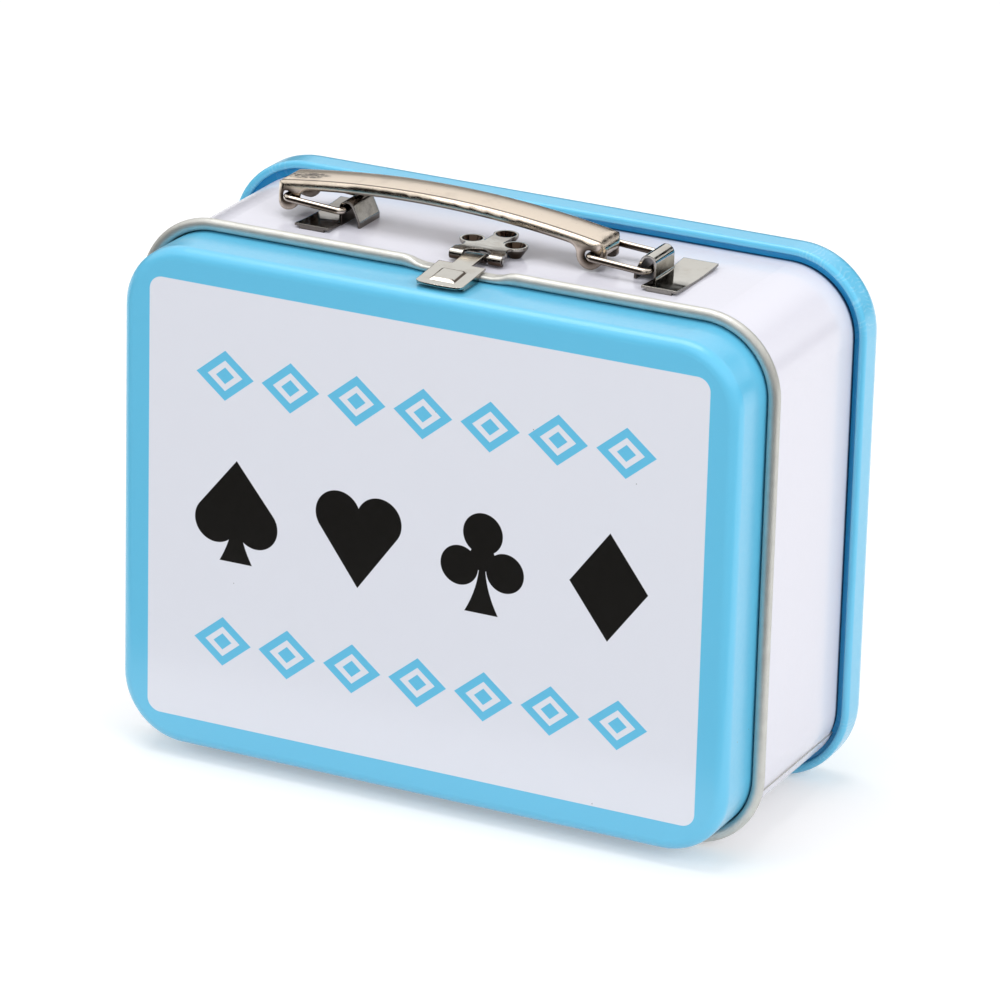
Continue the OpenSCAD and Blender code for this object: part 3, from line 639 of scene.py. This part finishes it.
def plain_material(name, values):
    """(material, its inputs), with plain values"""
    material = bpy.data.materials.new(name)
    material.use_nodes = True
    inputs = material.node_tree.nodes["Principled BSDF"].inputs
    for socket, value in values.items():
        inputs[socket].default_value = value
    return material, inputs


def surface(name, points, faces, material):
    mesh = bpy.data.meshes.new(name)
    mesh.from_pydata(points, [], faces)
    mesh.materials.append(material)
    thing = bpy.data.objects.new(name, mesh)
    scene.collection.objects.link(thing)
    return thing


def rectangle(low, high, z):
    """Corners of a level rectangle between two points"""
    (x0, y0), (x1, y1) = low, high
    return [(x0, y0, z), (x1, y0, z), (x1, y1, z), (x0, y1, z)]


def softbox(name, place, size, watts, mirrored=True):
    """Square light that looks at the middle of the tin. Reflections leave it out if not mirrored."""
    light = bpy.data.lights.new(name, "AREA")
    light.shape = "RECTANGLE"
    light.size = light.size_y = size
    light.energy = watts
    lamp = bpy.data.objects.new(name, light)
    scene.collection.objects.link(lamp)
    lamp.location = place
    lamp.rotation_euler = (Vector(place) - Vector(MIDDLE)).to_track_quat("Z", "Y").to_euler()
    lamp.visible_glossy = mirrored


def dark_card(name, points, faces):
    """A black flag that only reflections show, which gives the plated metal its contrast"""
    card = surface(name, points, faces, black_cloth)
    card.visible_camera = card.visible_diffuse = card.visible_transmission = False
    card.visible_shadow = card.visible_volume_scatter = False


floor_paint, floor_inputs = plain_material("floor_paint", {
    "Base Color": (*FLOOR_WHITE, 1.0), "Roughness": 0.9, "Emission Color": (1.0, 1.0, 1.0, 1.0)})
seen_strength(floor_paint.node_tree, floor_inputs["Emission Strength"], 0.0, FLOOR_GLOW)
floor = surface("floor", rectangle((-FLOOR_HALF, -FLOOR_HALF), (FLOOR_HALF, FLOOR_HALF), 0),
                [(0, 1, 2, 3)], floor_paint)

world = bpy.data.worlds.new("studio")
scene.world = world
world.use_nodes = True
background = world.node_tree.nodes["Background"]
background.inputs["Color"].default_value = (1.0, 1.0, 1.0, 1.0)
seen_strength(world.node_tree, background.inputs["Strength"], SKY_LIGHT, SKY_SEEN)

softbox("key_right", (1.3, -0.5, 0.7), 0.9, 10.5, mirrored=False)
softbox("top", (-0.2, 0.0, 1.5), 1.0, 9.0)
softbox("front_left", (-1.1, -1.3, 1.0), 0.8, 8.0, mirrored=False)

black_cloth, _ = plain_material("black_cloth", {"Base Color": (*CLOTH, 1.0),
                                                "Specular IOR Level": 0.0})
ring = []
for i in range(RING_SIDES):
    a = 2 * math.pi * i / RING_SIDES
    high = [h for start, h in RING_HEIGHTS if start <= 360 * i / RING_SIDES][-1]
    ring += [(RING_R * math.cos(a), RING_R * math.sin(a), z) for z in (RING_LOW, high)]
corners = len(ring)
dark_card("dark_band", ring, [(i, i + 1, (i + 3) % corners, (i + 2) % corners)
                              for i in range(0, corners, 2)])
dark_card("front_card", rectangle(*FRONT_CARD, CARD_Z), [(0, 1, 2, 3)])

camera = bpy.data.cameras.new("camera")
camera.sensor_width = SENSOR
camera.lens = LENS
camera.clip_start = 0.05
camera.clip_end = 50.0
camera_object = bpy.data.objects.new("camera", camera)
scene.collection.objects.link(camera_object)
turn = Matrix((RIGHT, UP, BACK)).transposed()
camera_object.matrix_world = Matrix.Translation(CAMERA_PLACE) @ turn.to_4x4()
scene.camera = camera_object
scene.view_settings.view_transform = "Standard"
